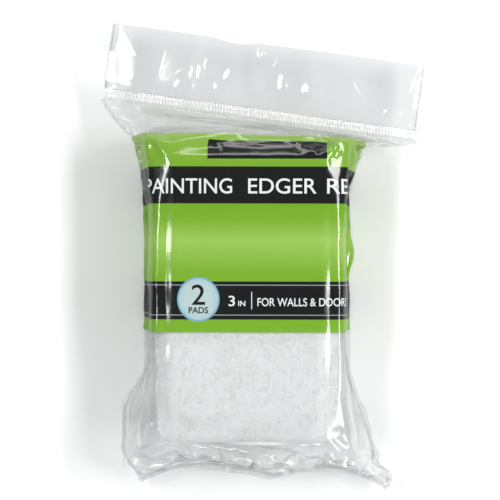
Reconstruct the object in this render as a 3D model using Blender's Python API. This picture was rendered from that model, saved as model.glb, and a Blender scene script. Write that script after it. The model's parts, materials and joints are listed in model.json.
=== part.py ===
"""Clear header-bag pack holding two paint-edger refill pads, lying on its back.

Metres, with +Z up, +X across the pads and +Y towards the header.  The origin is
the middle of the underside of the whole pack.  The bag is one folded and welded
film; its panels, welds, seal and header plies are separate solids here.  The
film is drawn thicker than real film, so that it is a solid.
"""

import math
from collections import namedtuple

import bmesh
import bpy
from mathutils import Matrix, Vector

# Refill pads: pile on foam on a moulded plate, packed back to back
PAD_WIDTH = 0.0762
PAD_LENGTH = 0.1206
PAD_CORNER = 0.0080
PILE_DEPTH = 0.0060
PILE_EDGE = 0.0042
FOAM_DEPTH = 0.0105
FOAM_INSET = 0.0006
PLATE_DEPTH = 0.0014
PLATE_INSET = 0.0030
RAIL_DEPTH = 0.0024
RAIL_WIDTH = 0.0016
RAIL_LIP = 0.0022
RAIL_LIP_DEPTH = 0.0010
RAIL_SPACING = 0.0460

# Bag film
FILM = 0.0004
SIDE_EASE = 0.0053
TOP_PLAY = 0.0020
END_PLAY = 0.0035
BAG_EASE = 0.0070
NECK_LENGTH = 0.0138
TAIL_LENGTH = 0.0150
TAIL_GATHER = 0.0280
SEAL_HEIGHT = 0.0140
TAIL_HEIGHT = 0.0090
WELD_WIDTH = 0.0012
WELD_DEPTH = 0.0007

# Header flap, turned from square with the pads, beyond the fold line
HEADER_TURN = math.radians(-7.8)
HEADER_SHIFT = 0.0048
HEADER_PLY_HEIGHT = 0.0270
SEAL_BAND = 0.0042
SEAL_DEPTH = 0.0011
SEAL_RIB_PITCH = 0.0022
SEAL_RIB_RISE = 0.0002
FOLD_CLEARANCE = 0.0007
TAIL_TURN = math.radians(-1.2)
TAIL_SHIFT = 0.0069

# Clearance between touching pieces, and how finely curves are cut
GAP = 0.0003
ARC_STEPS = 6
CROWN_STEPS = 6
NECK_STEPS = 7
BODY_STEPS = 4
TAIL_STEPS = 8

PAD_THICKNESS = RAIL_DEPTH + PLATE_DEPTH + GAP + FOAM_DEPTH + GAP + PILE_DEPTH
STACK = 2 * PAD_THICKNESS + GAP
PACK_HEIGHT = STACK + 2 * (GAP + FILM)
MIDDLE = PACK_HEIGHT / 2
BODY_HALF_WIDTH = PAD_WIDTH / 2 + SIDE_EASE
BAG_WIDTH = PAD_WIDTH + STACK + 2 * BAG_EASE

Section = namedtuple("Section", "x y turn half_width seam high low fullness")


def clear_scene():
    for obj in list(bpy.data.objects):
        bpy.data.objects.remove(obj)


def material(name, colour, roughness, alpha=1.0):
    made = bpy.data.materials.new(name)
    made.use_nodes = True
    shader = made.node_tree.nodes["Principled BSDF"]
    shader.inputs["Base Color"].default_value = (*colour, 1.0)
    shader.inputs["Roughness"].default_value = roughness
    shader.inputs["Metallic"].default_value = 0.0
    shader.inputs["Alpha"].default_value = alpha
    return made


def empty(name, location, turn=0.0, parent=None):
    made = bpy.data.objects.new(name, None)
    bpy.context.scene.collection.objects.link(made)
    made.location = location
    made.rotation_euler = (0.0, 0.0, turn)
    made.parent = parent
    return made


def solid(name, shape, look, parent, smooth_angle=35):
    """Makes the bmesh a named object with its faces pointing out."""
    bmesh.ops.recalc_face_normals(shape, faces=shape.faces)
    mesh = bpy.data.meshes.new(name)
    shape.to_mesh(mesh)
    shape.free()
    mesh.shade_smooth()
    mesh.set_sharp_from_angle(angle=math.radians(smooth_angle))
    mesh.materials.append(look)
    made = bpy.data.objects.new(name, mesh)
    bpy.context.scene.collection.objects.link(made)
    made.parent = parent
    return made


def skinned(rings):
    """A closed solid through rings of equal point counts, capped at both ends."""
    shape = bmesh.new()
    rows = [[shape.verts.new(point) for point in ring] for ring in rings]
    count = len(rows[0])
    for low, high in zip(rows, rows[1:]):
        for i in range(count):
            j = (i + 1) % count
            shape.faces.new((low[i], low[j], high[j], high[i]))
    shape.faces.new(rows[0])
    shape.faces.new(rows[-1])
    return shape


def rounded_rectangle(half_width, half_length, radius, z):
    """Outline of a rectangle with arc corners, at height z."""
    points = []
    for corner in range(4):
        along = 1 if corner in (0, 3) else -1
        up = 1 if corner in (0, 1) else -1
        centre = Vector((along * (half_width - radius), up * (half_length - radius), z))
        for step in range(ARC_STEPS + 1):
            angle = math.pi / 2 * (corner + step / ARC_STEPS)
            points.append(centre + radius * Vector((math.cos(angle), math.sin(angle), 0)))
    return points


def slab(width, length, corner, low, high, edge=0.0):
    """A rounded rectangular slab between two heights, its edge at high rounded."""
    rings = [rounded_rectangle(width / 2, length / 2, corner, low)]
    side = 1 if high > low else -1
    for step in range(ARC_STEPS + 1 if edge else 1):
        angle = math.pi / 2 * step / ARC_STEPS
        inset = edge * (1 - math.cos(angle))
        z = high - side * edge * (1 - math.sin(angle))
        rings.append(
            rounded_rectangle(width / 2 - inset, length / 2 - inset, corner - inset, z)
        )
    return skinned(rings)


def extruded(outline, start, end, along="Y"):
    """A flat outline in X and Z pushed along Y, or in X and Y pushed along Z."""
    place = {
        "Y": lambda a, b, c: Vector((a, c, b)),
        "Z": lambda a, b, c: Vector((a, b, c)),
    }[along]
    return skinned([[place(a, b, c) for a, b in outline] for c in (start, end)])


def pad_pieces(prefix, side, looks, parent):
    """One refill pad: its plate's rails at the middle of the pack, its pile outermost."""
    rail_end = MIDDLE + side * GAP / 2
    plate_inner = rail_end + side * RAIL_DEPTH
    plate_outer = plate_inner + side * PLATE_DEPTH
    foam_outer = plate_outer + side * (GAP + FOAM_DEPTH)
    pile_outer = foam_outer + side * (GAP + PILE_DEPTH)

    # Backing plate with two slide rails, each with a lip turned inwards
    half = PAD_WIDTH / 2 - PLATE_INSET
    rail = RAIL_SPACING / 2
    lip = rail_end + side * RAIL_LIP_DEPTH
    half_outline = [
        (half, plate_outer),
        (half, plate_inner),
        (rail + RAIL_WIDTH, plate_inner),
        (rail + RAIL_WIDTH, rail_end),
        (rail - RAIL_LIP, rail_end),
        (rail - RAIL_LIP, lip),
        (rail, lip),
        (rail, plate_inner),
    ]
    outline = half_outline + [(-x, z) for x, z in reversed(half_outline)]
    reach = PAD_LENGTH / 2 - PLATE_INSET
    solid(prefix + "_backing_plate", extruded(outline, -reach, reach), looks["plate"], parent)

    foam = slab(
        PAD_WIDTH - 2 * FOAM_INSET,
        PAD_LENGTH - 2 * FOAM_INSET,
        PAD_CORNER - FOAM_INSET,
        plate_outer + side * GAP,
        foam_outer,
    )
    solid(prefix + "_foam_core", foam, looks["foam"], parent)
    pile = slab(
        PAD_WIDTH, PAD_LENGTH, PAD_CORNER, foam_outer + side * GAP, pile_outer, PILE_EDGE
    )
    solid(prefix + "_pile_fabric", pile, looks["pile"], parent)


def mix(a, b, share):
    return a + (b - a) * share


def eased(a, b, share):
    """From a to b, level at both ends."""
    return mix(a, b, share * share * (3 - 2 * share))


def film_sections():
    """Cross-sections of the bag from its fold line to its bottom edge.

    A fullness of 1 is a round-cornered box and 0 is a lens.
    """
    lips = GAP + FILM
    top_y, end_y = PAD_LENGTH / 2, -PAD_LENGTH / 2
    full = Section(0, 0, 0, BODY_HALF_WIDTH, MIDDLE, PACK_HEIGHT, 0, 1)
    seal = Section(
        x=HEADER_SHIFT,
        y=top_y + NECK_LENGTH - FOLD_CLEARANCE,
        turn=HEADER_TURN,
        half_width=BAG_WIDTH / 2,
        seam=SEAL_HEIGHT,
        high=SEAL_HEIGHT + lips,
        low=SEAL_HEIGHT - lips,
        fullness=0,
    )
    tail = Section(
        x=TAIL_SHIFT,
        y=end_y - END_PLAY - TAIL_LENGTH,
        turn=TAIL_TURN,
        half_width=(BAG_WIDTH - TAIL_GATHER) / 2,
        seam=TAIL_HEIGHT,
        high=TAIL_HEIGHT + lips,
        low=TAIL_HEIGHT - lips,
        fullness=0,
    )
    top = full._replace(y=top_y + TOP_PLAY)
    end = full._replace(y=end_y - END_PLAY)
    sections = []
    spans = ((seal, top, NECK_STEPS), (top, end, BODY_STEPS), (end, tail, TAIL_STEPS))
    for near, far, steps in spans:
        sections += [between(near, far, step / steps) for step in range(steps)]
    return sections + [tail]


def between(near, far, share):
    """The section that share of the way from one to the other, its sizes eased."""
    made = Section(*[eased(a, b, share) for a, b in zip(near, far)])
    return made._replace(y=mix(near.y, far.y, share))


def section_axis(section):
    """The direction across the bag at a section."""
    return Vector((math.cos(section.turn), math.sin(section.turn), 0))


def rounded_box_side(half_width, height, radius):
    """Points up one side of a round-cornered box and over to its other side."""
    radius = min(radius, 0.98 * height)
    points = [(-half_width, 0.0)]
    for step in range(ARC_STEPS + 1):
        angle = math.pi / 2 * step / ARC_STEPS
        out, up = radius * (1 - math.cos(angle)), radius * math.sin(angle)
        points.append((-half_width + out, height - radius + up))
    points[-1] = (points[-1][0], height)
    flat = half_width - radius
    crown = [(-flat + 2 * flat * step / CROWN_STEPS, height) for step in range(1, CROWN_STEPS)]
    return points + crown + [(-x, z) for x, z in reversed(points)]


def section_points(section, side, shrink):
    """One film panel's curve across a section, from its left rim to its right rim."""
    base = section.seam + side * GAP / 2
    height = abs((section.high if side > 0 else section.low) - base) - shrink
    half_width = section.half_width - shrink
    box = rounded_box_side(half_width, height, PILE_EDGE + SIDE_EASE - shrink)
    points = []
    last = len(box) - 1
    for step, (x, z) in enumerate(box):
        angle = math.pi * (1 - step / last)
        if section.fullness < 1:
            x = mix(half_width * math.cos(angle), x, section.fullness)
            z = mix(height * math.sin(angle), z, section.fullness)
        if step in (0, last):
            z = 0.0
        middle = Vector((section.x, section.y, base + side * z))
        points.append(middle + x * section_axis(section))
    return points


def film_panel(name, side, sections, look, parent):
    """The front (side 1) or back (side -1) half of the bag as a thin dished solid."""
    rings = []
    for section in sections:
        outer = section_points(section, side, 0.0)
        inner = section_points(section, side, FILM)
        rings.append(outer + inner[::-1])
    return solid(name, skinned(rings), look, parent, 50)


def side_weld(name, side, sections, look, parent):
    """The welded bead along one edge of the bag, just outside both panels' rims."""
    rings = []
    for section in sections:
        along = section_axis(section) * side
        seam = Vector((section.x, section.y, section.seam))
        inner = seam + along * (section.half_width + GAP)
        outer = inner + along * WELD_WIDTH
        up = Vector((0, 0, WELD_DEPTH / 2))
        rings.append([inner - up, outer - up, outer + up, inner + up])
    return solid(name, skinned(rings), look, parent)


def bottom_seal(section, look, parent):
    """The welded edge that closes the bag's bottom."""
    half, near, far = section.half_width, -GAP, -GAP - WELD_WIDTH
    strip = [(-half, far), (half, far), (half, near), (-half, near)]
    shape = extruded(strip, -WELD_DEPTH / 2, WELD_DEPTH / 2, "Z")
    place = Matrix.Translation((section.x, section.y, section.seam))
    shape.transform(place @ Matrix.Rotation(section.turn, 4, "Z"))
    return solid("bottom_seal", shape, look, parent)


def ribbed_seal(look, parent):
    """The crimped bar that closes the bag, ribbed across on both faces."""
    count = int(BAG_WIDTH / SEAL_RIB_PITCH)
    pitch = BAG_WIDTH / count
    thin, thick = SEAL_DEPTH / 2 - SEAL_RIB_RISE, SEAL_DEPTH / 2
    top = []
    for rib in range(count):
        left = -BAG_WIDTH / 2 + rib * pitch
        top += [(left, thin), (left + pitch / 2, thick)]
    top.append((BAG_WIDTH / 2, thin))
    outline = [(x, -z) for x, z in top] + top[::-1]
    start = FOLD_CLEARANCE
    return solid("crimp_seal", extruded(outline, start, start + SEAL_BAND), look, parent, 10)


def header_plies(looks, parent):
    """The two flat film plies above the seal, and the weld down each short side."""
    start = FOLD_CLEARANCE + SEAL_BAND + GAP
    end = start + HEADER_PLY_HEIGHT
    half = BAG_WIDTH / 2 - WELD_WIDTH - GAP
    outline = [(-half, start), (half, start), (half, end), (-half, end)]
    for name, side in (("header_front_ply", 1), ("header_back_ply", -1)):
        near, far = side * GAP / 2, side * (GAP / 2 + FILM)
        solid(name, extruded(outline, near, far, "Z"), looks["film"], parent)
    for name, side in (("header_left_weld", -1), ("header_right_weld", 1)):
        inner = side * (half + GAP)
        outer = side * (half + GAP + WELD_WIDTH)
        strip = [(inner, start), (outer, start), (outer, end), (inner, end)]
        solid(name, extruded(strip, -WELD_DEPTH / 2, WELD_DEPTH / 2, "Z"), looks["weld"], parent)


def middle_of_pack(objects):
    """The middle of the pack's box, seen from above."""
    bpy.context.view_layer.update()
    corners = [obj.matrix_world @ vertex.co for obj in objects for vertex in obj.data.vertices]
    return [(min(c[i] for c in corners) + max(c[i] for c in corners)) / 2 for i in (0, 1)]


def build():
    clear_scene()
    looks = {
        "film": material("clear_film", (0.84, 0.86, 0.86), 0.12, 0.35),
        "weld": material("welded_film", (0.88, 0.89, 0.89), 0.35, 0.6),
        "pile": material("white_pile", (0.86, 0.88, 0.87), 0.95),
        "foam": material("white_foam", (0.84, 0.84, 0.82), 0.9),
        "plate": material("white_plastic", (0.80, 0.81, 0.82), 0.4),
    }
    pack = empty("pack", (0, 0, 0))
    hinge_y = PAD_LENGTH / 2 + NECK_LENGTH
    header = empty(
        "header_fold", (HEADER_SHIFT, hinge_y, SEAL_HEIGHT), HEADER_TURN, pack
    )
    front_slide = empty("front_pad_slide", (0, 0, 0), parent=pack)
    rear_slide = empty("rear_pad_slide", (0, 0, 0), parent=pack)

    sections = film_sections()
    film_panel("front_film_panel", 1, sections, looks["film"], pack)
    film_panel("back_film_panel", -1, sections, looks["film"], pack)
    side_weld("left_side_weld", -1, sections, looks["weld"], pack)
    side_weld("right_side_weld", 1, sections, looks["weld"], pack)
    bottom_seal(sections[-1], looks["weld"], pack)
    ribbed_seal(looks["weld"], header)
    header_plies(looks, header)
    pad_pieces("front_pad", 1, looks, front_slide)
    pad_pieces("rear_pad", -1, looks, rear_slide)

    x, y = middle_of_pack([obj for obj in bpy.data.objects if obj.type == "MESH"])
    pack.location = (-x, -y, 0.0)


build()
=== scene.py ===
"""The looks of a clear header-bag pack of two paint-edger refill pads.

The pouch's film is simulated as thin sheet, cut flat and welded round its edges, over the pads
that the frame gives.  Metres throughout, in the frame's own axes.
"""

import json
import math

import bmesh
import bpy
import numpy as np
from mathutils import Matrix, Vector


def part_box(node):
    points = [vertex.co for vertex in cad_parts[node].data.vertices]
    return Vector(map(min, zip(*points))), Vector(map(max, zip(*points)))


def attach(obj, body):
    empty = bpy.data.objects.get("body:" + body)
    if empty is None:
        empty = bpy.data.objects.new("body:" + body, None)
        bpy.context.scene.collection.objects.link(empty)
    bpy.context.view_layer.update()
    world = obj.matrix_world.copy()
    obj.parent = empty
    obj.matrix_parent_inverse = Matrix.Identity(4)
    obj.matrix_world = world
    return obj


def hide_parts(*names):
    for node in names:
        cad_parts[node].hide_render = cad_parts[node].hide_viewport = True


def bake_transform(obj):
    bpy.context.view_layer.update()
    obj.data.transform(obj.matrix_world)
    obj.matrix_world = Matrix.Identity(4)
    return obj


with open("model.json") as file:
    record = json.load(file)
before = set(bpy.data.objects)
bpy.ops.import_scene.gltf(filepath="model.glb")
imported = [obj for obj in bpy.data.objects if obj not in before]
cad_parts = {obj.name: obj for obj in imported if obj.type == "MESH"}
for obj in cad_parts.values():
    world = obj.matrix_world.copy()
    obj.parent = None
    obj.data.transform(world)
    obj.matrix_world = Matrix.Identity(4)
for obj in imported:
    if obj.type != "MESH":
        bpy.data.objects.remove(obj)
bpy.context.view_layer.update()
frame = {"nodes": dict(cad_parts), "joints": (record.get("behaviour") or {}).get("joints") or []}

MM = 0.001


# ---------------- sizes that the frame gives
def extent(node, direction):
    """Lowest and highest place of a CAD node along a direction."""
    along = [vertex.co.dot(direction) for vertex in frame["nodes"][node].data.vertices]
    return min(along), max(along)


fold = next(joint for joint in frame["joints"] if joint["name"] == "header_fold")
FOLD = Vector(fold["pos_m"])
ACROSS = Vector(fold["axis"]).normalized()
UPWARD = Vector((0, 0, 1))
ONWARD = UPWARD.cross(ACROSS)

front_low, front_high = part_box("front_pad_pile_fabric")
PAD_X = (front_low.x + front_high.x) / 2
PAD_Y = (front_low.y + front_high.y) / 2
PAD_HALF_WIDTH = (front_high.x - front_low.x) / 2
PAD_HALF_LENGTH = (front_high.y - front_low.y) / 2
PAD_TOP, PAD_BOTTOM = front_high.z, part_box("rear_pad_pile_fabric")[0].z
MIDDLE = (PAD_TOP + PAD_BOTTOM) / 2

seal_left, seal_right = extent("crimp_seal", ACROSS)
BAG_WIDTH = seal_right - seal_left
SEAL_START, SEAL_END = (place - FOLD.dot(ONWARD) for place in extent("crimp_seal", ONWARD))
HEADER_END = extent("header_front_ply", ONWARD)[1] - FOLD.dot(ONWARD)
tail_low, tail_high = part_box("bottom_seal")
TAIL_LEFT = Vector((tail_low.x, tail_high.y, (tail_low.z + tail_high.z) / 2))
TAIL_RIGHT = Vector((tail_high.x, tail_low.y, (tail_low.z + tail_high.z) / 2))

# ---------------- the film as it was cut
NECK_FILM, TAIL_FILM = 0.0310, 0.0360
BODY_AHEAD, BODY_BEYOND = 3.0 * MM, 4.0 * MM
FILM_LENGTH = NECK_FILM + BODY_AHEAD + 2 * PAD_HALF_LENGTH + BODY_BEYOND + TAIL_FILM
EDGE = BAG_WIDTH / 2
TAIL_START = FILM_LENGTH - TAIL_FILM
BODY_HALF_WIDTH = PAD_HALF_WIDTH + 6.6 * MM
EDGE_RADIUS = 9.0 * MM

# The gathered bottom edge: where its arches meet, and how far it is drawn in and waves, in mm
TAIL_CUSP, TAIL_DRAWN, TAIL_ARCH = 0.54, 3.6, 5.2
TAIL_WAVE, TAIL_TURNS, TAIL_PHASE = 4.6, 3.1, 0.15
# How far the sides spread towards the tail, in mm, and how steeply the header's left end curls
SPREAD_LEFT, SPREAD_RIGHT, CURL_SLOPE = 8.0, 6.0, 0.35

# The simulation: its scale, its cells each way, its frames, and how much finer its result is made
SIM_SCALE = 10.0
COLUMNS, ROWS, FRAMES, FINER = 66, 96, 30, 3
# The film's room over and under the pads and at their ends, and its least height over the floor
CROWN_ROOM, BASE_ROOM = 0.9 * MM, 0.2 * MM
SLIDE_AHEAD, SLIDE_BACK = 2.0 * MM, 3.5 * MM
FLOOR_GAP = 0.1 * MM

# How round the pile's edges are: in the CAD, pressed by the bag, and at the tail
CAD_ROUND, SOFT_ROUND, TAIL_ROUND = 4.2 * MM, 9.0 * MM, 16.0 * MM
PAD_CORNER = 8.0 * MM
PILE_VOXEL, FOAM_VOXEL, FIBRES_PER_PAD = 0.9 * MM, 1.3 * MM, 30000

# Where the print lies on the flat film: u from its middle line, v from the seal down
PRINT_TOP, PRINT_END = 0.0225, 0.1092
TITLE_BAND = (0.0411, 0.0563)
TITLE_BASE = 0.0522
FACTS_BAND = (0.0883, 0.1039)
FACTS_BASE = 0.0984
FINE_LINES, LINE_WIDTH = (0.0896, 0.1019), 0.35 * MM
# Middle of the green field's pale stripe, which is partly the print's own gradient and partly a painted
# highlight of the film's sheen
PALE_STRIPE_AND_SHEEN = 0.0714
PLAIN_BAR_U, PLAIN_BAR_V = (-0.0178, 0.0341), (0.0260, 0.0379)
BADGE_U, BADGE_V, BADGE_RADIUS, BADGE_RIM = -0.0215, 0.0957, 0.0091, 0.7 * MM
LETTER_WEIGHT = 0.05 * MM


def smooth(share):
    share = min(1.0, max(0.0, share))
    return share * share * (3 - 2 * share)


def rise(values, low, high):
    """A smooth step from 0 at low to 1 at high, on an array."""
    share = np.clip((values - low) / (high - low), 0, 1)
    return share * share * (3 - 2 * share)


def spaced(points, count):
    """count + 1 places an equal way apart along a polyline."""
    points = np.array(points)
    steps = np.linalg.norm(np.diff(points, axis=0), axis=1)
    along = np.concatenate([[0], np.cumsum(steps)])
    wanted = np.linspace(0, along[-1], count + 1)
    return np.stack([np.interp(wanted, along, column) for column in points.T], 1)


def flat_grid(u_range, v_range, rows, columns):
    """Flat places u across and v down, rows + 1 by columns + 1."""
    u = np.linspace(*u_range, columns + 1)[None, :] + np.zeros((rows + 1, 1))
    v = np.linspace(*v_range, rows + 1)[:, None] + np.zeros((1, columns + 1))
    return u, v


def half_section(half_width, height, fullness, count):
    """Half a bag section over its crown, left to right, as x and z; a flat lens to a round box."""
    radius = min(EDGE_RADIUS, height * 0.98, half_width * 0.5)
    arc_points = 25
    box = [(-half_width, 0.0)]
    for angle in np.linspace(0, math.pi / 2, arc_points):
        box.append((-half_width + radius * (1 - math.cos(angle)), height - radius * (1 - math.sin(angle))))
    box = spaced(box + [(-x, z) for x, z in reversed(box)], count)
    angles = np.pi * (1 - np.arange(count + 1) / count)
    lens = spaced(np.stack([half_width * np.cos(angles), height * np.sin(angles)], 1), count)
    mixed = lens * (1 - fullness) + box * fullness
    return mixed[:, 0], mixed[:, 1]


def tail_edge(share):
    """The pouch's gathered bottom edge: two arches that meet in a cusp, and waves up and down."""
    point = TAIL_LEFT.lerp(TAIL_RIGHT, share)
    arch = share / TAIL_CUSP if share < TAIL_CUSP else (share - TAIL_CUSP) / (1 - TAIL_CUSP)
    swell = math.sin(math.pi * share) ** 0.5 if 0 < share < 1 else 0.0
    point.y += (TAIL_DRAWN * swell + TAIL_ARCH * math.sin(math.pi * arch)) * MM
    point.z += TAIL_WAVE * MM * swell * math.sin(2 * math.pi * (TAIL_TURNS * share + TAIL_PHASE))
    return point


def start_shape(columns, rows):
    """The film before it settles: front and back places, rows + 1 by columns + 1 by 3."""
    body_top, body_end = PAD_Y + PAD_HALF_LENGTH + BODY_AHEAD, PAD_Y - PAD_HALF_LENGTH - BODY_BEYOND
    tail_middle = (TAIL_LEFT + TAIL_RIGHT) / 2
    tail_width = TAIL_RIGHT - TAIL_LEFT
    waved_rows, least_height = 10, 1e-5
    sides = []
    for crown in (PAD_TOP + CROWN_ROOM, PAD_BOTTOM - BASE_ROOM):
        up = math.copysign(1, crown - MIDDLE)
        places = np.zeros((rows + 1, columns + 1, 3))
        for row in range(rows + 1):
            v = FILM_LENGTH * row / rows
            if v < NECK_FILM:
                run, end, end_half = v / NECK_FILM, FOLD, EDGE
                angle = math.atan2(ACROSS.y, ACROSS.x)
                y = FOLD.y + (body_top - FOLD.y) * run
            elif v > TAIL_START:
                run, end, end_half = (FILM_LENGTH - v) / TAIL_FILM, tail_middle, tail_width.length / 2
                angle = math.atan2(tail_width.y, tail_width.x)
                y = tail_middle.y + (body_end - tail_middle.y) * run
            else:
                run, end, end_half, angle = 1.0, FOLD, BODY_HALF_WIDTH, 0.0
                y = body_top + (body_end - body_top) * (v - NECK_FILM) / (TAIL_START - NECK_FILM)
            full = smooth(run)
            x, seam = end.x + (PAD_X - end.x) * full, end.z + (MIDDLE - end.z) * full
            half, turn = end_half + (BODY_HALF_WIDTH - end_half) * full, angle * (1 - full)
            xs, zs = half_section(half, abs(crown - seam) * full + least_height, full, columns)
            places[row, :, 0] = x + xs * math.cos(turn)
            places[row, :, 1] = y + xs * math.sin(turn)
            places[row, :, 2] = seam + up * zs
        for column in range(columns + 1):
            share = column / columns
            places[0, column] = FOLD + ACROSS * BAG_WIDTH * (share - 0.5)
            edge = tail_edge(share)
            wave = np.array(edge - TAIL_LEFT.lerp(TAIL_RIGHT, share))
            for back in range(1, waved_rows):
                places[rows - back, column] += wave * (1 - back / waved_rows) ** 2
            places[rows, column] = edge
        sides.append(places)
    sides[1][:, 0], sides[1][:, -1] = sides[0][:, 0], sides[0][:, -1]
    return sides


def bag_numbering(columns, rows):
    """Vertex numbers of the front and back grids, which share the welded edges."""
    front = np.arange((rows + 1) * (columns + 1)).reshape(rows + 1, columns + 1)
    back = front.copy()
    back[1:-1, 1:-1] = front.size + np.arange((rows - 1) * (columns - 1)).reshape(rows - 1, columns - 1)
    return front, back


def grid_faces(grid, outward_up):
    """Quads between neighbouring vertex numbers, that face up or down."""
    a, b = grid[:-1, :-1].ravel(), grid[:-1, 1:].ravel()
    c, d = grid[1:, 1:].ravel(), grid[1:, :-1].ravel()
    return np.stack([a, d, c, b] if outward_up else [a, b, c, d], 1)


def linked(name, mesh):
    """An object of that mesh, in the scene."""
    made = bpy.data.objects.new(name, mesh)
    bpy.context.scene.collection.objects.link(made)
    return made


def mesh_object(name, points, faces):
    mesh = bpy.data.meshes.new(name)
    mesh.from_pydata(np.asarray(points).tolist(), [], [list(face) for face in faces])
    mesh.update()
    return linked(name, mesh)


def box_collider(name, low, high, radius=0.0):
    """A box with rounded edges that the settling film can't enter."""
    shape = bmesh.new()
    bmesh.ops.create_cube(shape, size=1.0)
    for vertex in shape.verts:
        for k in range(3):
            vertex.co[k] = (low[k] if vertex.co[k] < 0 else high[k]) * SIM_SCALE
    if radius:
        rounding = {"offset": radius * SIM_SCALE, "segments": 6, "profile": 0.5}
        bmesh.ops.bevel(shape, geom=shape.edges[:], affect="EDGES", **rounding)
    mesh = bpy.data.meshes.new(name)
    shape.to_mesh(mesh)
    shape.free()
    made = linked(name, mesh)
    made.modifiers.new("Collision", "COLLISION")
    made.collision.thickness_outer = 0.002
    made.collision.cloth_friction = 3.0
    return made


def film_colliders():
    """The pads with their sliding room, the table, and walls that keep spare film folded in."""
    pads_end, pads_top = PAD_Y - PAD_HALF_LENGTH, PAD_Y + PAD_HALF_LENGTH
    pads = box_collider(
        "pads_collider",
        (PAD_X - PAD_HALF_WIDTH, pads_end - SLIDE_BACK, PAD_BOTTOM),
        (PAD_X + PAD_HALF_WIDTH, pads_top + SLIDE_AHEAD, PAD_TOP),
        SOFT_ROUND - MM,
    )
    colliders = [pads, box_collider("table_collider", (-0.3, -0.3, -0.05), (0.3, 0.3, 0.0))]
    for side in (-1, 1):
        near = PAD_X + side * (BODY_HALF_WIDTH + 0.3 * MM)
        far = near + side * 30 * MM
        low = (min(near, far), pads_end + 14 * MM, -5 * MM)
        high = (max(near, far), pads_top - 6 * MM, 60 * MM)
        colliders.append(box_collider(f"wall_collider_{side}", low, high, 3 * MM))
    return colliders


def settle_film():
    """Lets the flat-cut film settle round the pads, and gives the front and back places."""
    front, back = bag_numbering(COLUMNS, ROWS)

    def on_mesh(front_places, back_places):
        points = np.zeros((back[1:-1, 1:-1].max() + 1, 3))
        points[back.ravel()] = back_places.reshape(-1, 3)
        points[front.ravel()] = front_places.reshape(-1, 3)
        return points * SIM_SCALE

    faces = np.concatenate([grid_faces(front, True), grid_faces(back, False)])
    film = mesh_object("settling_film", on_mesh(*start_shape(COLUMNS, ROWS)), faces.tolist())
    flat = np.zeros((ROWS + 1, COLUMNS + 1, 3))
    flat[:, :, 0] = (np.arange(COLUMNS + 1) / COLUMNS - 0.5)[None, :] * BAG_WIDTH
    flat[:, :, 1] = -np.arange(ROWS + 1)[:, None] / ROWS * FILM_LENGTH
    film.shape_key_add(name="Basis")
    cut = film.shape_key_add(name="cut")
    cut.data.foreach_set("co", on_mesh(flat, flat).astype(np.float32).ravel())
    cut.value = 0.0
    held = film.vertex_groups.new(name="held")
    held.add(np.concatenate([front[0], front[1], back[1], front[-1]]).tolist(), 1.0, "REPLACE")

    cloth = film.modifiers.new("Cloth", "CLOTH")
    settings = cloth.settings
    settings.quality = 7
    settings.mass = 0.15
    settings.air_damping = 2.0
    settings.bending_model = "ANGULAR"
    settings.tension_stiffness = settings.compression_stiffness = 60.0
    settings.shear_stiffness = 30.0
    settings.bending_stiffness = 0.6
    settings.tension_damping = settings.compression_damping = settings.shear_damping = 8.0
    settings.bending_damping = 1.0
    settings.vertex_group_mass = "held"
    settings.rest_shape_key = cut
    settings.use_pressure = True
    settings.uniform_pressure_force = 0.2
    settings.effector_weights.gravity = 0.15
    cloth.collision_settings.collision_quality = 3
    cloth.collision_settings.distance_min = 0.004
    cloth.collision_settings.use_self_collision = False
    cloth.point_cache.frame_start, cloth.point_cache.frame_end = 1, FRAMES

    colliders = film_colliders()
    scene = bpy.context.scene
    scene.frame_start, scene.frame_end = 1, FRAMES
    for step in range(1, FRAMES + 1):
        scene.frame_set(step)
    settled = film.evaluated_get(bpy.context.evaluated_depsgraph_get())
    places = np.zeros(len(settled.data.vertices) * 3, np.float32)
    settled.data.vertices.foreach_get("co", places)
    places = places.reshape(-1, 3).astype(float) / SIM_SCALE
    for helper in [film, *colliders]:
        bpy.data.objects.remove(helper)
    scene.frame_set(1)
    return places[front], places[back]


def finer(grid, times):
    """A grid of points with times as many cells each way, on a smooth curve through them."""
    for axis in (0, 1):
        grid = np.moveaxis(grid, axis, 0)
        count = grid.shape[0] - 1
        padded = np.concatenate([2 * grid[:1] - grid[1:2], grid, 2 * grid[-1:] - grid[-2:-1]])
        wanted = np.arange(count * times + 1)
        cell = np.minimum(wanted // times, count - 1)
        t = ((wanted - cell * times) / times)[:, None, None]
        a, b, c, d = (padded[cell + k] for k in range(4))
        curve = 2 * b + (c - a) * t + (2 * a - 5 * b + 4 * c - d) * t**2 + (3 * b - a - 3 * c + d) * t**3
        grid = np.moveaxis(curve / 2, 0, axis)
    return grid


def grid_normals(grid, up):
    """Unit normals of a grid of points, on the side that up says."""
    normals = np.cross(np.gradient(grid, axis=0), np.gradient(grid, axis=1)) * up
    return normals / np.maximum(np.linalg.norm(normals, axis=2, keepdims=True), 1e-12)


def waves(u, v, seed, count, shortest, longest):
    """A smooth random relief of about unit height: a sum of waves in random directions."""
    draw = np.random.default_rng(seed)
    total = np.zeros_like(u)
    for _ in range(count):
        length = draw.uniform(shortest, longest)
        angle, phase = draw.uniform(0, math.pi), draw.uniform(0, 2 * math.pi)
        total += np.sin(2 * math.pi * (u * math.cos(angle) + v * math.sin(angle)) / length + phase)
    return total / math.sqrt(count / 2)


def crease(u, v, start, end, width, height):
    """One sharp straight ridge from start to end, with a triangular section and tapered ends."""
    (u0, v0), (u1, v1) = start, end
    length = math.hypot(u1 - u0, v1 - v0)
    along = ((u - u0) * (u1 - u0) + (v - v0) * (v1 - v0)) / length**2
    off = np.abs((u - u0) * (v1 - v0) - (v - v0) * (u1 - u0)) / length
    ends = np.clip(4 * along * (1 - along), 0, 1)
    return height * np.clip(1 - off / (width * (0.3 + 0.7 * ends)), 0, 1) * ends


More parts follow.
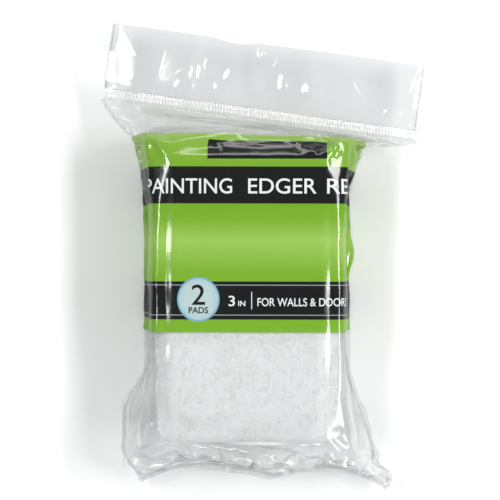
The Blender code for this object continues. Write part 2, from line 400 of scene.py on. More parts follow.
def creases(u, v, seed, count, area, lengths, widths, heights, lean, spread):
    """Random creases in an area, low u, high u, low v, high v in mm as all sizes here are,
    that lean in about one direction, in degrees from the u axis."""
    draw = np.random.default_rng(seed)
    total = np.zeros_like(u)
    for _ in range(count):
        centre = draw.uniform(area[0], area[1]) * MM, draw.uniform(area[2], area[3]) * MM
        angle = math.radians(lean) + draw.normal() * math.radians(spread)
        reach = draw.uniform(*lengths) / 2 * MM
        du, dv = reach * math.cos(angle), reach * math.sin(angle)
        start, end = (centre[0] - du, centre[1] - dv), (centre[0] + du, centre[1] + dv)
        total += crease(u, v, start, end, draw.uniform(*widths) * MM, draw.uniform(*heights) * MM)
    return total


def folds(u, v, seed, count, shortest, longest, slope):
    """Flat facets with sharp straight edges: triangle waves of one steepness, each its own way."""
    draw = np.random.default_rng(seed)
    total = np.zeros_like(u)
    for _ in range(count):
        length = draw.uniform(shortest, longest)
        angle, phase = draw.uniform(0, math.pi), draw.uniform(0, 1)
        turns = (u * math.cos(angle) + v * math.sin(angle)) / length + phase
        total += slope * length * (np.abs(turns - np.round(turns)) - 0.25)
    return total


def hold_behind_edge(places, v):
    """Folds back what of the tail's film hangs out past its own bottom edge."""
    folded_back = 1.15
    over = np.maximum(places[-1:, :, 1] - places[:, :, 1], 0)
    places[:, :, 1] += over * folded_back * (v > TAIL_START)


def splay(places, u, v):
    """Lets the sides spread towards the tail, where nothing fills them."""
    left = rise(-u, 38 * MM, 62 * MM) * rise(v, TAIL_START - 36 * MM, TAIL_START - 16 * MM)
    left *= 1 - rise(v, TAIL_START + 4 * MM, FILM_LENGTH)
    right = rise(u, 38 * MM, 62 * MM) * rise(v, TAIL_START - 34 * MM, TAIL_START + 2 * MM)
    right *= 1 - rise(v, TAIL_START + 20 * MM, FILM_LENGTH)
    places[:, :, 0] += (SPREAD_RIGHT * right - SPREAD_LEFT * left) * MM


def crumple(front, back):
    """Spreads the settled film towards the tail, and adds the folds, creases and fine waves that
    its cells are too coarse to hold: some on both panels together, some on each its own."""
    u, v = flat_grid((-EDGE, EDGE), (0, FILM_LENGTH), front.shape[0] - 1, front.shape[1] - 1)
    for places in (front, back):
        splay(places, u, v)
        hold_behind_edge(places, v)
    tail = rise(v, TAIL_START - 2 * MM, TAIL_START + 9 * MM)
    neck = 1 - rise(v, NECK_FILM - 12 * MM, NECK_FILM + 4 * MM)
    sides = rise(np.abs(u), 38 * MM, 48 * MM)
    off_welds = 1 - rise(np.abs(u), EDGE - 5 * MM, EDGE)
    off_seal = rise(v, 0.5 * MM, 8 * MM)
    off_tail = 1 - rise(v, FILM_LENGTH - 5 * MM, FILM_LENGTH)
    wide, tail_mm, end_mm = EDGE / MM, TAIL_START / MM, FILM_LENGTH / MM
    most_own = 4 * MM

    together = 0.4 * MM * waves(u, v, 3, 9, 12 * MM, 34 * MM) * (tail + 0.3 * neck)
    together += tail * folds(u, v, 8, 3, 16 * MM, 30 * MM, 0.16)
    together += neck * folds(u, v, 9, 3, 18 * MM, 40 * MM, 0.06)
    area = (-wide, wide, tail_mm + 8, end_mm + 4)
    together += tail * creases(u, v, 5, 26, area, (16, 40), (4, 9), (-1.5, 1.8), 75, 38)
    area = (-wide, wide, 2, 31)
    together += neck * creases(u, v, 6, 12, area, (10, 30), (3, 6), (-0.3, 0.45), 75, 40)
    area = (38, wide, 2, 37)
    together += neck * creases(u, v, 7, 16, area, (8, 18), (2, 5), (0.4, 1.5), 100, 45)
    together *= off_seal
    for seed, places, up in ((11, front, 1), (12, back, -1)):
        normals = grid_normals(places, up)
        own = 0.07 * MM * (1 + waves(u, v, seed, 8, 10 * MM, 40 * MM))
        own += 0.10 * MM * sides * (1 + waves(u, v, seed + 4, 8, 5 * MM, 14 * MM))
        own += tail * (1.4 * MM + folds(u, v, seed + 6, 4, 11 * MM, 26 * MM, 0.20))
        area = (-wide, wide, tail_mm - 16, end_mm - 2)
        own += tail * creases(u, v, seed + 1, 56, area, (8, 26), (2, 6), (0.5, 2.0), 90, 60)
        area = (-wide, wide, tail_mm + 6, end_mm - 4)
        own += tail * creases(u, v, seed + 2, 26, area, (10, 24), (2, 5), (0.6, 1.7), 80, 35)
        for low_u, high_u in ((-wide, -44), (44, wide)):
            area = (low_u, high_u, 20, tail_mm)
            own += creases(u, v, seed + 20 + (low_u > 0), 22, area, (14, 40), (1.5, 4), (0.2, 0.9), 88, 14)
        own = np.clip(own, 0, most_own) * off_welds * off_seal * off_tail
        places += normals * own[:, :, None]
        hold_behind_edge(places, v)
        places[:, :, 2] = np.maximum(places[:, :, 2] + together, FLOOR_GAP)
    return front, back


class Film:
    """A settled panel of film, that print can be laid on by its flat place."""

    def __init__(self, places, up):
        self.places, self.normals = places, grid_normals(places, up)
        self.rows, self.columns = places.shape[0] - 1, places.shape[1] - 1

    def at(self, u, v, lift):
        """Places on the film of flat places, lifted off it."""
        across = np.clip((u / BAG_WIDTH + 0.5) * self.columns, 0, self.columns - 1e-6)
        down = np.clip(v / FILM_LENGTH * self.rows, 0, self.rows - 1e-6)
        i, j = down.astype(int), across.astype(int)
        s, t = (down - i)[:, None], (across - j)[:, None]

        def between(grid):
            top = grid[i, j] * (1 - t) + grid[i, j + 1] * t
            return top * (1 - s) + (grid[i + 1, j] * (1 - t) + grid[i + 1, j + 1] * t) * s

        return between(self.places) + between(self.normals) * lift


# ---------------- materials
def srgb(red, green, blue):
    """A colour given as 8-bit sRGB, as linear light."""
    return tuple(((c / 255 + 0.055) / 1.055) ** 2.4 for c in (red, green, blue))


class Material:
    """A node material, with short ways to add and join its nodes."""

    def __init__(self, name):
        self.made = bpy.data.materials.new(name)
        self.made.use_nodes = True
        self.tree = self.made.node_tree
        self.tree.nodes.clear()
        self.out = self.tree.nodes.new("ShaderNodeOutputMaterial")

    def node(self, kind, inputs=(), **settings):
        made = self.tree.nodes.new(kind)
        for name, value in settings.items():
            setattr(made, name, value)
        for name, value in dict(inputs).items():
            if isinstance(value, bpy.types.NodeSocket):
                self.tree.links.new(value, made.inputs[name])
            else:
                made.inputs[name].default_value = value
        return made

    def math(self, operation, first, second=0.0, third=0.0, clamp=False):
        inputs = {0: first, 1: second, 2: third}
        return self.node("ShaderNodeMath", inputs, operation=operation, use_clamp=clamp).outputs[0]

    def mixed(self, share, first, second):
        return self.node("ShaderNodeMixShader", {0: share, 1: first, 2: second}).outputs[0]

    def blend_colour(self, share, first, second):
        colours = [c if isinstance(c, bpy.types.NodeSocket) else (*c, 1) for c in (first, second)]
        inputs = {0: share, 6: colours[0], 7: colours[1]}
        return self.node("ShaderNodeMix", inputs, data_type="RGBA").outputs[2]

    def noise(self, scale, detail=3.0, roughness=0.5):
        where = self.node("ShaderNodeTexCoord").outputs["Object"]
        inputs = {"Scale": scale, "Detail": detail, "Roughness": roughness, "Vector": where}
        return self.node("ShaderNodeTexNoise", inputs).outputs[0]

    def bump(self, height, distance, strength=1.0):
        inputs = {"Height": height, "Distance": distance, "Strength": strength}
        return self.node("ShaderNodeBump", inputs).outputs[0]

    def finish(self, surface):
        self.tree.links.new(surface, self.out.inputs["Surface"])
        return self.made

    def finish_principled(self, **inputs):
        named = {name.replace("_", " "): value for name, value in inputs.items()}
        return self.finish(self.node("ShaderNodeBsdfPrincipled", named).outputs[0])


def ramp(material, value, stops):
    """A colour ramp of (place, colour) stops."""
    made = material.node("ShaderNodeValToRGB", {0: value})
    elements = made.color_ramp.elements
    while len(elements) < len(stops):
        elements.new(0.5)
    for element, (place, colour) in zip(elements, stops):
        element.position = place
        element.color = (*colour, 1)
    return made.outputs[0]


FILM_TINT = (0.965, 0.968, 0.970, 1)
HEADER_TINT = (0.940, 0.945, 0.948, 1)
WELD_TINT = (0.88, 0.885, 0.89, 1)
CRIMP_TINT = (0.91, 0.915, 0.91, 1)
INK_BLACK = srgb(9, 14, 15)
WHITE_INK = srgb(232, 236, 234)
DEEP_GREEN = srgb(126, 186, 32)
# Palest green of that stripe: partly ink colour, partly a painted highlight
PALE_GREEN_AND_SHEEN = srgb(174, 218, 102)
INK_COVER, SHINES_THROUGH = 0.96, 0.22
TWO_FACES, MOST_MIRROR, FILM_BUMP = 1.3, 0.30, 0.04 * MM
RIB_PITCH, RIB_RISE, RIB_HAZE = 1.25 * MM, 0.08 * MM, 0.42


def gloss(material, bump_height):
    """The film's shine: how much its two faces mirror, and the mirror itself."""
    roughness = material.math("MULTIPLY_ADD", material.noise(240.0, 3.0, 0.55), 0.16, 0.06)
    normal = material.bump(material.noise(330.0, 4.0, 0.6), bump_height)
    shine = material.node("ShaderNodeBsdfGlossy", {"Roughness": roughness, "Normal": normal})
    mirror = material.node("ShaderNodeFresnel", {"IOR": 1.5, "Normal": normal}).outputs[0]
    share = material.math("MINIMUM", material.math("MULTIPLY", mirror, TWO_FACES), MOST_MIRROR)
    return share, shine.outputs[0]


def clear_film_material(name, tint, bump_height=FILM_BUMP, ribbed=False):
    """Clear film with a little haze, which is stronger along a crimped seal's ribs."""
    material = Material(name)
    through = material.node("ShaderNodeBsdfTransparent", {"Color": tint}).outputs[0]
    haze = material.node("ShaderNodeBsdfDiffuse", {"Color": (0.95, 0.95, 0.95, 1)}).outputs[0]
    cloudy = material.math("MULTIPLY_ADD", material.noise(60.0), 0.05, 0.01)
    if ribbed:
        where = material.node("ShaderNodeTexCoord").outputs["Object"]
        inputs = {0: where, 1: tuple(ACROSS / RIB_PITCH * 2 * math.pi)}
        along = material.node("ShaderNodeVectorMath", inputs, operation="DOT_PRODUCT").outputs["Value"]
        crest = material.math("MULTIPLY_ADD", material.math("COSINE", along), 0.5, 0.5)
        cloudy = material.math("MULTIPLY_ADD", material.math("POWER", crest, 2.0), RIB_HAZE, cloudy)
    share, shine = gloss(material, bump_height)
    return material.finish(material.mixed(share, material.mixed(cloudy, through, haze), shine))


def printed_film_material(name, front):
    """Clear film with the print: a green field that is palest in a stripe across its middle, partly
    a painted highlight, two dark bands and fine lines, and on the front a bar and a badge."""
    material = Material(name)
    place = material.node("ShaderNodeUVMap", uv_map="flat").outputs[0]
    parts = material.node("ShaderNodeSeparateXYZ", {0: place})
    u, v = parts.outputs[0], parts.outputs[1]
    ink_edge = 0.12 * MM

    def above(value, limit):
        """1 where value is above limit, with a soft printed edge."""
        return material.math("DIVIDE", material.math("SUBTRACT", value, limit), ink_edge, clamp=True)

    def within(value, low, high):
        not_above = material.math("SUBTRACT", 1.0, above(value, high))
        return material.math("MULTIPLY", above(value, low), not_above)

    def share_of_print(place):
        return (place - PRINT_TOP) / (PRINT_END - PRINT_TOP)

    height = material.math("SUBTRACT", v, PRINT_TOP)
    # The green darkens towards both ends and is palest across its middle: partly the print's own gradient,
    # partly a painted highlight
    stops = (
        (0.0, srgb(150, 188, 78)),
        (share_of_print(TITLE_BAND[0]), srgb(134, 188, 44)),
        (share_of_print(TITLE_BAND[1]), DEEP_GREEN),
        (share_of_print(PALE_STRIPE_AND_SHEEN - 8 * MM), srgb(138, 192, 50)),
        (share_of_print(PALE_STRIPE_AND_SHEEN), PALE_GREEN_AND_SHEEN),
        (share_of_print(PALE_STRIPE_AND_SHEEN + 5 * MM), srgb(162, 210, 84)),
        (share_of_print(PALE_STRIPE_AND_SHEEN + 14 * MM), srgb(136, 191, 46)),
        (1.0, srgb(134, 190, 42)),
    )
    colour = ramp(material, material.math("DIVIDE", height, PRINT_END - PRINT_TOP), stops)
    speckle = material.math("MULTIPLY", material.noise(1500.0, 2.0), 0.2)
    colour = material.blend_colour(speckle, colour, srgb(96, 156, 24))

    dark = material.math("ADD", within(v, *TITLE_BAND), within(v, *FACTS_BAND), clamp=True)
    if front:
        bar = material.math("MULTIPLY", within(u, *PLAIN_BAR_U), within(v, *PLAIN_BAR_V))
        dark = material.math("ADD", dark, bar, clamp=True)
    drawn = [within(v, line, line + LINE_WIDTH) for line in FINE_LINES]
    lines = material.math("ADD", *drawn, clamp=True)
    colour = material.blend_colour(dark, colour, INK_BLACK)
    colour = material.blend_colour(lines, colour, srgb(170, 176, 178))
    if front:
        across = material.math("DIVIDE", material.math("SUBTRACT", u, BADGE_U), BADGE_RADIUS)
        down = material.math("DIVIDE", material.math("SUBTRACT", v, BADGE_V), BADGE_RADIUS)
        squares = material.math("MULTIPLY_ADD", across, across, material.math("MULTIPLY", down, down))
        radius = material.math("MULTIPLY", material.math("SQRT", squares), BADGE_RADIUS)
        badge = material.math("SUBTRACT", 1.0, above(radius, BADGE_RADIUS))
        rim = material.math("MULTIPLY", badge, above(radius, BADGE_RADIUS - BADGE_RIM))
        edge_glow = material.math("POWER", material.math("SQRT", squares), 5.0, clamp=True)
        disc = material.blend_colour(edge_glow, srgb(206, 226, 225), srgb(176, 212, 222))
        colour = material.blend_colour(badge, colour, disc)
        colour = material.blend_colour(rim, colour, srgb(132, 190, 214))

    cover = material.math("MULTIPLY", within(v, PRINT_TOP, PRINT_END), INK_COVER)
    ink = material.node("ShaderNodeBsdfDiffuse", {"Color": colour}).outputs[0]
    lit_through = material.node("ShaderNodeBsdfTranslucent", {"Color": colour}).outputs[0]
    through = material.node("ShaderNodeBsdfTransparent", {"Color": FILM_TINT}).outputs[0]
    haze = material.node("ShaderNodeBsdfDiffuse", {"Color": (0.97, 0.97, 0.97, 1)}).outputs[0]
    cloudy = material.math("MULTIPLY_ADD", material.noise(60.0), 0.10, 0.02)
    through = material.mixed(cloudy, through, haze)
    share, shine = gloss(material, FILM_BUMP)
    body = material.mixed(cover, through, material.mixed(SHINES_THROUGH, ink, lit_through))
    return material.finish(material.mixed(share, body, shine))


def surface_material(name, dark, light, mottle, grain, depth, roughness, **more):
    """A solid surface: its colour varies with one noise, and its relief with another."""
    material = Material(name)
    colour = material.blend_colour(material.noise(*mottle), dark, light)
    normal = material.bump(material.noise(*grain), depth)
    return material.finish_principled(Base_Color=colour, Roughness=roughness, Normal=normal, **more)


def moulded_plate_material():
    shades = srgb(228, 228, 223), srgb(238, 238, 234)
    return surface_material("moulded_plate", *shades, (40.0, 4.0), (700.0, 4.0, 0.6), 0.05 * MM, 0.38)


def floor_material():
    material = Material("floor")
    colour = material.blend_colour(material.noise(3.0), (0.95, 0.95, 0.95), (0.97, 0.97, 0.97))
    return material.finish_principled(Base_Color=colour, Roughness=0.9)


def ink_material(name, colour):
    worn = tuple(0.88 * channel for channel in colour)
    return surface_material(name, worn, colour, (900.0,), (330.0,), 0.04 * MM, 0.22)


def foam_material():
    material = Material("open_cell_foam")
    where = material.node("ShaderNodeTexCoord").outputs["Object"]
    cells = material.node("ShaderNodeTexVoronoi", {"Vector": where, "Scale": 1100.0}).outputs["Distance"]
    colour = material.blend_colour(cells, srgb(246, 246, 242), srgb(206, 207, 202))
    normal = material.bump(cells, 0.4 * MM, 0.8)
    return material.finish_principled(Base_Color=colour, Roughness=0.9, Normal=normal)


def pile_material(name, light, dark):
    mottle, grain = (800.0, 5.0, 0.7), (1600.0, 3.0, 0.7)
    return surface_material(name, dark, light, mottle, grain, 0.3 * MM, 0.85, Sheen_Weight=0.3)


def dressed(piece, material):
    """Shades a piece smooth and gives it its material."""
    piece.data.shade_smooth()
    piece.data.materials.append(material)
    return piece


# ---------------- the film's pieces
def grid_piece(name, places, up, material, u_range, v_range):
    """A panel of film from a grid of points, with its flat places as a UV map."""
    u, v = flat_grid(u_range, v_range, places.shape[0] - 1, places.shape[1] - 1)
    numbers = np.arange(u.size).reshape(u.shape)
    made = mesh_object(name, places.reshape(-1, 3), grid_faces(numbers, up).tolist())
    flat = np.stack([u.ravel(), v.ravel()], 1)
    corners = np.zeros(len(made.data.loops), np.int32)
    made.data.loops.foreach_get("vertex_index", corners)
    layer = made.data.uv_layers.new(name="flat")
    layer.data.foreach_set("uv", flat[corners].astype(np.float32).ravel())
    return dressed(made, material)


def bend_at_fold(piece):
    """Bakes the piece's transform into its mesh."""
    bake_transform(piece)


def pouch_film():
    """The pouch's front and back film; gives the front's places."""
    front, back = settle_film()
    front, back = crumple(finer(front, FINER), finer(back, FINER))
    for name, node, places, up in (
        ("pouch_front_film", "front_film_panel", front, True),
        ("pouch_back_film", "back_film_panel", back, False),
    ):
        material = printed_film_material(name + "_print", up)
        piece = grid_piece(name, places, up, material, (-EDGE, EDGE), (0.0, FILM_LENGTH))
        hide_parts(node)
        bend_at_fold(piece)
    return front


def bead(name, line, across, width, height, material):
    """A thin rounded bead along a line of points, wide one way: a welded edge."""
    angles = np.linspace(0, 2 * math.pi, 8, endpoint=False)
    up = np.array(UPWARD)
    rings = [line + across * math.cos(a) * width / 2 + up * math.sin(a) * height / 2 for a in angles]
    points = np.stack(rings, 1)
    numbers = np.arange(points.shape[0] * points.shape[1]).reshape(points.shape[:2])
    wrapped = np.concatenate([numbers, numbers[:, :1]], 1)
    faces = grid_faces(wrapped, True).tolist() + [numbers[0].tolist(), numbers[-1].tolist()]
    made = mesh_object(name, points.reshape(-1, 3), faces)
    shape = bmesh.new()
    shape.from_mesh(made.data)
    bmesh.ops.recalc_face_normals(shape, faces=shape.faces[:])
    shape.to_mesh(made.data)
    shape.free()
    dressed(made, material)
    return made


def pouch_welds(front, material):
    """The welded sides and bottom edge of the pouch."""
    for name, node, column, side in (
        ("left_weld_bead", "left_side_weld", 0, -1),
        ("right_weld_bead", "right_side_weld", -1, 1),
    ):
        outward = np.array((side, 0.0, 0.0))
        piece = bead(name, front[:, column] + outward * 0.5 * MM, outward, 1.3 * MM, 0.35 * MM, material)
        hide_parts(node)
        bend_at_fold(piece)
    onward = np.array((0.0, -1.0, 0.0))
    piece = bead("bottom_weld_bead", front[-1] + onward * 0.6 * MM, onward, 1.6 * MM, 0.35 * MM, material)
    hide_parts("bottom_seal")
    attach(piece, "pouch")


def header_places(u, w, lift):
    """Places on the header of flat places: u across it, w beyond the fold."""
    places = np.array(FOLD) + u[:, :, None] * np.array(ACROSS) + w[:, :, None] * np.array(ONWARD)
    places[:, :, 2] += lift
    return places


def header_relief(u, w):
    """How far the header's film stands off its flat plane: soft waves, a curl and creases."""
    wide, low, high = EDGE / MM, SEAL_END / MM, HEADER_END / MM
    lift = 0.45 * MM * waves(u, w, 31, 7, 30 * MM, 70 * MM)
    area = (-46, wide, low + 2, high)
    lift += creases(u, w, 33, 14, area, (10, 26), (0.8, 2.0), (-0.18, 0.26), 80, 25)
    lift += crease(u, w, (-17 * MM, 34 * MM), (-21.5 * MM, 13 * MM), 6 * MM, 1.1 * MM)
    lift += crease(u, w, (-21 * MM, 14 * MM), (-11 * MM, 4 * MM), 4 * MM, 0.9 * MM)
    lift += creases(u, w, 34, 12, (48, wide, low, high - 5), (5, 13), (0.8, 2.0), (0.15, 0.5), 60, 50)
    lift += creases(u, w, 36, 6, (-38, -22, low, low + 16), (5, 13), (0.8, 2.0), (0.15, 0.5), 70, 50)
    lift += creases(u, w, 37, 9, (-30, 20, high - 18, high), (6, 16), (1.5, 3.5), (0.3, 0.8), 82, 14)
    lift += folds(u, w, 38, 2, 26 * MM, 60 * MM, 0.035)
    lift *= rise(w, SEAL_END - MM, SEAL_END + 7 * MM)
    curl_line = np.interp(w, (5 * MM, 20 * MM, 32 * MM), (-55.5 * MM, -54.0 * MM, -62.9 * MM))
    return lift + CURL_SLOPE * np.maximum(curl_line - u, 0) * rise(w, SEAL_END - MM, SEAL_END + 3 * MM)


def header_end(u):
    """The header's cut end, which dips where it is crumpled."""
    return HEADER_END - 1.3 * MM * (rise(u, -24 * MM, -17 * MM) - rise(u, -12 * MM, -4 * MM))


def header_film(material):
    """The header's two plies; gives their middle surface."""
    columns, rows, tucked = 220, 54, 0.4 * MM
    u, share = flat_grid((-EDGE, EDGE), (1, 0), rows, columns)
    start = SEAL_END - tucked
    w = start + share * (header_end(u) - start)
    relief = header_relief(u, w)
    open_share = rise(w, SEAL_END, SEAL_END + 12 * MM) * (1 - rise(np.abs(u), EDGE - 3 * MM, EDGE))
    gap = 0.35 * MM + open_share * MM * (1.15 + 0.25 * waves(u, w, 41, 6, 12 * MM, 40 * MM))
    length = HEADER_END - start
    for name, node, up in (
        ("header_front_film", "header_front_ply", 1),
        ("header_back_film", "header_back_ply", -1),
    ):
        places = header_places(u, w, relief + up * gap / 2)
        piece = grid_piece(name, places, up > 0, material, (-EDGE, EDGE), (length, 0.0))
        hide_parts(node)
        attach(piece, "header")
    return header_places(u, w, relief)


def header_edges(middle, material):
    """The narrow welds down the header's two short sides, with their tear nicks."""
    for name, node, column, side in (
        ("header_left_edge", "header_left_weld", 0, -1),
        ("header_right_edge", "header_right_weld", -1, 1),
    ):
        line = middle[:, column]
        outward = np.array(ACROSS) * side
        nick = 0.18 * MM * np.cos(np.arange(len(line)) * math.pi / 2) - 0.2 * MM
        piece = bead(name, line + outward * nick[:, None], outward, 1.0 * MM, 0.5 * MM, material)
        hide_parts(node)
        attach(piece, "header")


def crimp_band(material):
    """The crimped seal: two rows of pressed ribs with a plain line between, and one beneath."""
    per_rib, rows, lip, half_depth = 8, 26, 0.8 * MM, 0.12 * MM
    columns = round(BAG_WIDTH / RIB_PITCH) * per_rib
    u, w = flat_grid((-EDGE, EDGE), (SEAL_END, SEAL_START - lip), rows, columns)
    share = (w - SEAL_START) / (SEAL_END - SEAL_START)
    upper = rise(share, 0.50, 0.58) * (1 - rise(share, 0.92, 0.98))
    lower = rise(share, 0.10, 0.16) * (1 - rise(share, 0.42, 0.48))
    lift = RIB_RISE * np.clip(np.cos(2 * math.pi * u / RIB_PITCH) * 1.4, -1, 1) * (upper + lower)
    lift += 0.25 * MM * waves(u, w, 51, 6, 14 * MM, 50 * MM) * rise(EDGE - np.abs(u), 0, 6 * MM)
    lift *= rise(w, SEAL_START - lip, SEAL_START + 0.5 * MM)
    over, under = header_places(u, w, lift + half_depth), header_places(u, w, lift - half_depth)
    top = np.arange(u.size).reshape(u.shape)
    bottom = top + u.size
    faces = grid_faces(top, True).tolist() + grid_faces(bottom, False).tolist()
    rim = np.concatenate([top[0, :-1], top[:-1, -1], top[-1, :0:-1], top[:0:-1, 0], top[0, :1]])
    low_rim = rim + u.size
    faces += np.stack([rim[:-1], rim[1:], low_rim[1:], low_rim[:-1]], 1).tolist()
    piece = mesh_object("crimp_band", np.concatenate([over.reshape(-1, 3), under.reshape(-1, 3)]), faces)
    dressed(piece, material)
    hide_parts("crimp_seal")
    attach(piece, "header")


# ---------------- the pads
def remeshed(node, name, voxel):
    """A dense copy of a CAD node's solid."""
    source = linked(name + "_source", frame["nodes"][node].data.copy())
    dense = source.modifiers.new("Remesh", "REMESH")
    dense.mode = "VOXEL"
    dense.voxel_size = voxel
    evaluated = source.evaluated_get(bpy.context.evaluated_depsgraph_get())
    made = linked(name, bpy.data.meshes.new_from_object(evaluated))
    bpy.data.objects.remove(source)
    return made


def points_and_normals(piece):
    """A piece's vertex places and normals, as arrays."""
    found = []
    for name in ("co", "normal"):
        values = np.zeros(len(piece.data.vertices) * 3, np.float32)
        piece.data.vertices.foreach_get(name, values)
        found.append(values.reshape(-1, 3).astype(float))
    return found


def set_points(piece, places):
    piece.data.vertices.foreach_set("co", places.astype(np.float32).ravel())
    piece.data.update()


def round_drop(inside, radius):
    """How far a rounded edge of that radius falls at a distance inside the border."""
    run = np.clip(radius - inside, 0, radius * 0.999)
    return radius - np.sqrt(radius**2 - run**2)


def soften_edge(places, outward, low, high):
    """Presses the pile's edge rounder, as its bag does."""
    half = np.array((PAD_HALF_WIDTH, PAD_HALF_LENGTH)) - PAD_CORNER
    beyond = np.abs(places[:, :2] - np.array((PAD_X, PAD_Y))) - half
    outside = np.minimum(beyond.max(1), 0) + np.hypot(*np.maximum(beyond, 0).T) - PAD_CORNER
    inside = np.maximum(-outside, 0)
    depth, base = high.z - low.z, low.z if outward > 0 else high.z
    most_pressed = 0.85
    pads_end = PAD_Y - PAD_HALF_LENGTH
    at_tail = 1 - rise(places[:, 1], pads_end + 6 * MM, pads_end + 22 * MM)
    radius = SOFT_ROUND + (TAIL_ROUND - SOFT_ROUND) * at_tail
    pressed = np.tanh(round_drop(inside, radius) / (most_pressed * depth))
    wanted = depth - most_pressed * depth * pressed
    places[:, 2] = base + (places[:, 2] - base) * wanted / (depth - round_drop(inside, CAD_ROUND))


def pile_fabric(pad, outward, material, seed):
    """The painting face: a soft napped cushion.  Gives its points and normals for the fibres."""
    node = f"{pad}_pile_fabric"
    piece = remeshed(node, f"{pad}_pile", PILE_VOXEL)
    places = points_and_normals(piece)[0]
    soften_edge(places, outward, *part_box(node))
    set_points(piece, places)
    places, normals = points_and_normals(piece)
    showing = normals[:, 2] * outward > -0.6
    tufts = 0.5 + 0.25 * waves(places[:, 0], places[:, 1], seed, 14, 2.2 * MM, 5 * MM)
    sink = 0.52 * MM + 0.28 * MM * np.clip(tufts, 0, 1)
    places -= normals * (sink * showing)[:, None]
    set_points(piece, places)
    dressed(piece, material)
    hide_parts(node)
    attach(piece, pad)
    return places, normals


def pile_fibres(pad, outward, places, normals, material, seed):
    """The loose fibres that lie in soft swirls on the pile."""
    low, high = (np.array(corner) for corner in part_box(f"{pad}_pile_fabric"))
    draw = np.random.default_rng(seed)
    count = FIBRES_PER_PAD
    off_base = (places[:, 2] - (low[2] + high[2]) / 2) * outward > -2.6 * MM
    usable = np.flatnonzero((normals[:, 2] * outward > -0.2) & off_base)
    chosen = draw.choice(usable, count)
    normal = normals[chosen]
    root = places[chosen] + draw.normal(size=(count, 3)) * 0.3 * MM - normal * 0.3 * MM
    swirl = 2.2 * waves(root[:, 0], root[:, 1], seed + 1, 5, 18 * MM, 60 * MM)
    swirl += draw.normal(size=count) * 0.9
    flat = np.stack([np.cos(swirl), np.sin(swirl), np.zeros(count)], 1)
    climb = draw.uniform(0.05, 0.25, size=(count, 1))
    way = flat * np.cos(climb) + normal * np.sin(climb)
    length = draw.uniform(0.9, 2.1, size=(count, 1)) * MM
    side = np.cross(way, normal)
    side /= np.maximum(np.linalg.norm(side, axis=1, keepdims=True), 1e-9)
    rows = []
    for along, bow, half_width in ((0.0, 0.0, 0.085), (0.5, 0.12, 0.075), (1.0, 0.0, 0.03)):
        centre = root + way * length * along + normal * length * bow
        rows += [centre + side * sign * half_width * MM for sign in (-1, 1)]
    sliding_room = np.array((0.02, 0.90, 0.02)) * MM
    points = np.clip(np.stack(rows, 1), low + sliding_room, high - sliding_room)
    first = np.arange(count)[:, None] * 6
    faces = np.concatenate([first + np.array([[0, 1, 3, 2]]), first + np.array([[2, 3, 5, 4]])])
    fibres = mesh_object(f"{pad}_fibres", points.reshape(-1, 3), faces.tolist())
    dressed(fibres, material)
    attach(fibres, pad)


def foam_core(pad, material, seed):
    """The foam between pile and plate, pulled in a little at half its depth."""
    node = f"{pad}_foam_core"
    low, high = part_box(node)
    piece = remeshed(node, f"{pad}_foam", FOAM_VOXEL)
    places, normals = points_and_normals(piece)
    share = (places[:, 2] - low.z) / (high.z - low.z)
    waist = 0.9 * MM * 4 * share * (1 - share) * np.hypot(normals[:, 0], normals[:, 1])
    skew = places[:, 2]
    pores = 0.12 * MM * (1 + waves(places[:, 0] + skew, places[:, 1] + skew, seed, 10, 3 * MM, 8 * MM))
    set_points(piece, places - normals * (waist + pores)[:, None])
    dressed(piece, material)
    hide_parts(node)
    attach(piece, pad)


# ---------------- the lettering
def flat_words(*words):
    """Lettering in flat places as one bmesh.  A word is its text, its left end and base line,
    its capitals' height and its width, in mm but for the base line."""
    joined = bmesh.new()
    capital_share = 0.70
    for text, left, base, height, width in words:
        curve = bpy.data.curves.new("word", "FONT")
        curve.body = text
        curve.size = height * MM / capital_share
        curve.offset = LETTER_WEIGHT
        curve.resolution_u = 6
        holder = linked("word", curve)
        bpy.context.view_layer.update()
        evaluated = holder.evaluated_get(bpy.context.evaluated_depsgraph_get())
        mesh = bpy.data.meshes.new_from_object(evaluated)
        across = [vertex.co.x for vertex in mesh.vertices]
        stretch = width * MM / (max(across) - min(across))
        for vertex in mesh.vertices:
            vertex.co.x = left * MM + (vertex.co.x - min(across)) * stretch
            vertex.co.y = base - vertex.co.y
        joined.from_mesh(mesh)
        bpy.data.objects.remove(holder)
    return joined


def laid_print(name, shape, film, material):
    """Cuts flat print on a fine grid, lays it just above the film and lets it ride on the pouch."""
    cell, lift = 0.8 * MM, 0.07 * MM
    for axis, normal in ((0, (1, 0, 0)), (1, (0, 1, 0))):
        values = [vertex.co[axis] for vertex in shape.verts]
        for place in np.arange(math.ceil(min(values) / cell) * cell, max(values), cell):
            centre = [0.0, 0.0, 0.0]
            centre[axis] = place
            whole = shape.verts[:] + shape.edges[:] + shape.faces[:]
            bmesh.ops.bisect_plane(shape, geom=whole, dist=1e-7, plane_co=centre, plane_no=normal)
    flat = np.array([vertex.co[:2] for vertex in shape.verts])
    for vertex, place in zip(shape.verts, film.at(flat[:, 0], flat[:, 1], lift)):
        vertex.co = place
    shape.normal_update()
    if sum(face.normal.z * face.calc_area() for face in shape.faces) < 0:
        bmesh.ops.reverse_faces(shape, faces=shape.faces[:])
    mesh = bpy.data.meshes.new(name)
    shape.to_mesh(mesh)
    shape.free()
    made = linked(name, mesh)
    made.data.materials.append(material)
    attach(made, "pouch")


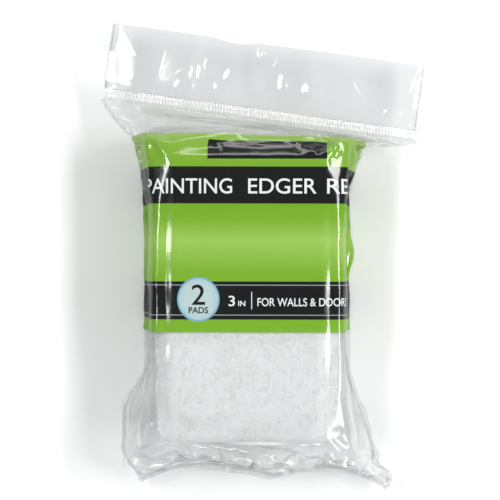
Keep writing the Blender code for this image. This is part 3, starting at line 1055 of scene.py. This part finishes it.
def lettering(film):
    """Plain generic words and numbers in white on the bands, and in black on the badge."""
    white, black = ink_material("white_ink", WHITE_INK), ink_material("black_ink", srgb(20, 24, 26))
    title = flat_words(
        ("PAINTING", -46.0, TITLE_BASE, 6.2, 39.0),
        ("EDGER", -0.1, TITLE_BASE, 6.2, 29.6),
        ("REFILL", 34.0, TITLE_BASE, 6.2, 29.0),
    )
    laid_print("band_title_letters", title, film, white)
    facts = flat_words(
        ("3", -8.5, FACTS_BASE, 4.2, 2.8),
        ("IN", -4.3, FACTS_BASE, 2.1, 3.1),
        ("FOR WALLS & DOORS", 4.0, FACTS_BASE, 3.3, 40.5),
    )
    rule_u, rule_v = (1.35 * MM, 1.70 * MM), (FACTS_BASE - 5.8 * MM, FACTS_BASE + 1.4 * MM)
    corners = ((0, 0), (1, 0), (1, 1), (0, 1))
    facts.faces.new([facts.verts.new((rule_u[i], rule_v[j], 0)) for i, j in corners])
    laid_print("band_fact_letters", facts, film, white)
    middle = BADGE_U / MM
    badge = flat_words(
        ("2", middle - 2.9, BADGE_V + 2.2 * MM, 8.3, 5.8),
        ("PADS", middle - 4.2, BADGE_V + 5.7 * MM, 2.5, 8.4),
    )
    laid_print("badge_letters", badge, film, black)


# ---------------- the object
front_places = pouch_film()
weld_film = clear_film_material("welded_film_edge", WELD_TINT)
pouch_welds(front_places, weld_film)
header_edges(header_film(clear_film_material("header_film", HEADER_TINT)), weld_film)
crimp_band(clear_film_material("crimped_film", CRIMP_TINT, 0.02 * MM, ribbed=True))

pile_white = pile_material("pile_ground", srgb(246, 248, 246), srgb(218, 223, 220))
fibre_white = pile_material("pile_fibre", srgb(251, 252, 251), srgb(224, 229, 226))
foam_white = foam_material()
plate_white = moulded_plate_material()
for pad_name, outward_z, pad_seed in (("front_pad", 1, 61), ("rear_pad", -1, 71)):
    pile_places, pile_normals = pile_fabric(pad_name, outward_z, pile_white, pad_seed)
    pile_fibres(pad_name, outward_z, pile_places, pile_normals, fibre_white, pad_seed)
    foam_core(pad_name, foam_white, pad_seed + 5)
    plate = frame["nodes"][f"{pad_name}_backing_plate"]
    plate.data.materials.clear()
    plate.data.materials.append(plate_white)

lettering(Film(front_places, 1))

# ---------------- the studio
FLOOR_REACH, FLOOR_Z = 3.0, -0.3 * MM
CAMERA_PLACE, CAMERA_LENS, CAMERA_SENSOR = (-5.2 * MM, 2.5 * MM, 1.0), 168.0, 36
WORLD_COLOUR = (0.25, 0.255, 0.26, 1)

# Name, azimuth and elevation in degrees, distance, width and height in metres, radiance
SOFTBOXES = (
    ("right", 85, 50, 1.2, 0.75, 0.18, 20.8),
    ("left", -70, 60, 1.2, 0.45, 0.13, 27.0),
    ("end", 182, 17, 1.3, 0.90, 0.30, 6.5),
    ("back", 5, 20, 1.3, 0.90, 0.30, 5.5),
)

around = ((-1, -1), (1, -1), (1, 1), (-1, 1))
floor_corners = [(x * FLOOR_REACH, y * FLOOR_REACH, FLOOR_Z) for x, y in around]
floor = mesh_object("floor", floor_corners, [(0, 1, 2, 3)])
floor.data.materials.append(floor_material())

camera_data = bpy.data.cameras.new("camera")
camera = linked("camera", camera_data)
camera.location = CAMERA_PLACE
camera_data.sensor_width = CAMERA_SENSOR
camera_data.lens = CAMERA_LENS
camera_data.clip_start = 0.01
bpy.context.scene.camera = camera


def softbox(name, azimuth, elevation, distance, width, height, radiance):
    """A rectangular light that faces the object, as bright as radiance says whatever its size."""
    data = bpy.data.lights.new(name, "AREA")
    data.shape = "RECTANGLE"
    data.size, data.size_y = width, height
    data.energy = radiance * math.pi * width * height
    light = linked(name, data)
    a, e = math.radians(azimuth), math.radians(elevation)
    light.location = Vector((math.sin(a) * math.cos(e), math.cos(a) * math.cos(e), math.sin(e))) * distance
    light.rotation_euler = (-light.location).to_track_quat("-Z", "Y").to_euler()


for lamp in SOFTBOXES:
    softbox(*lamp)

world = bpy.data.worlds.new("studio")
world.use_nodes = True
world.node_tree.nodes["Background"].inputs[0].default_value = WORLD_COLOUR
bpy.context.scene.world = world
bpy.context.scene.view_settings.view_transform = "Standard"
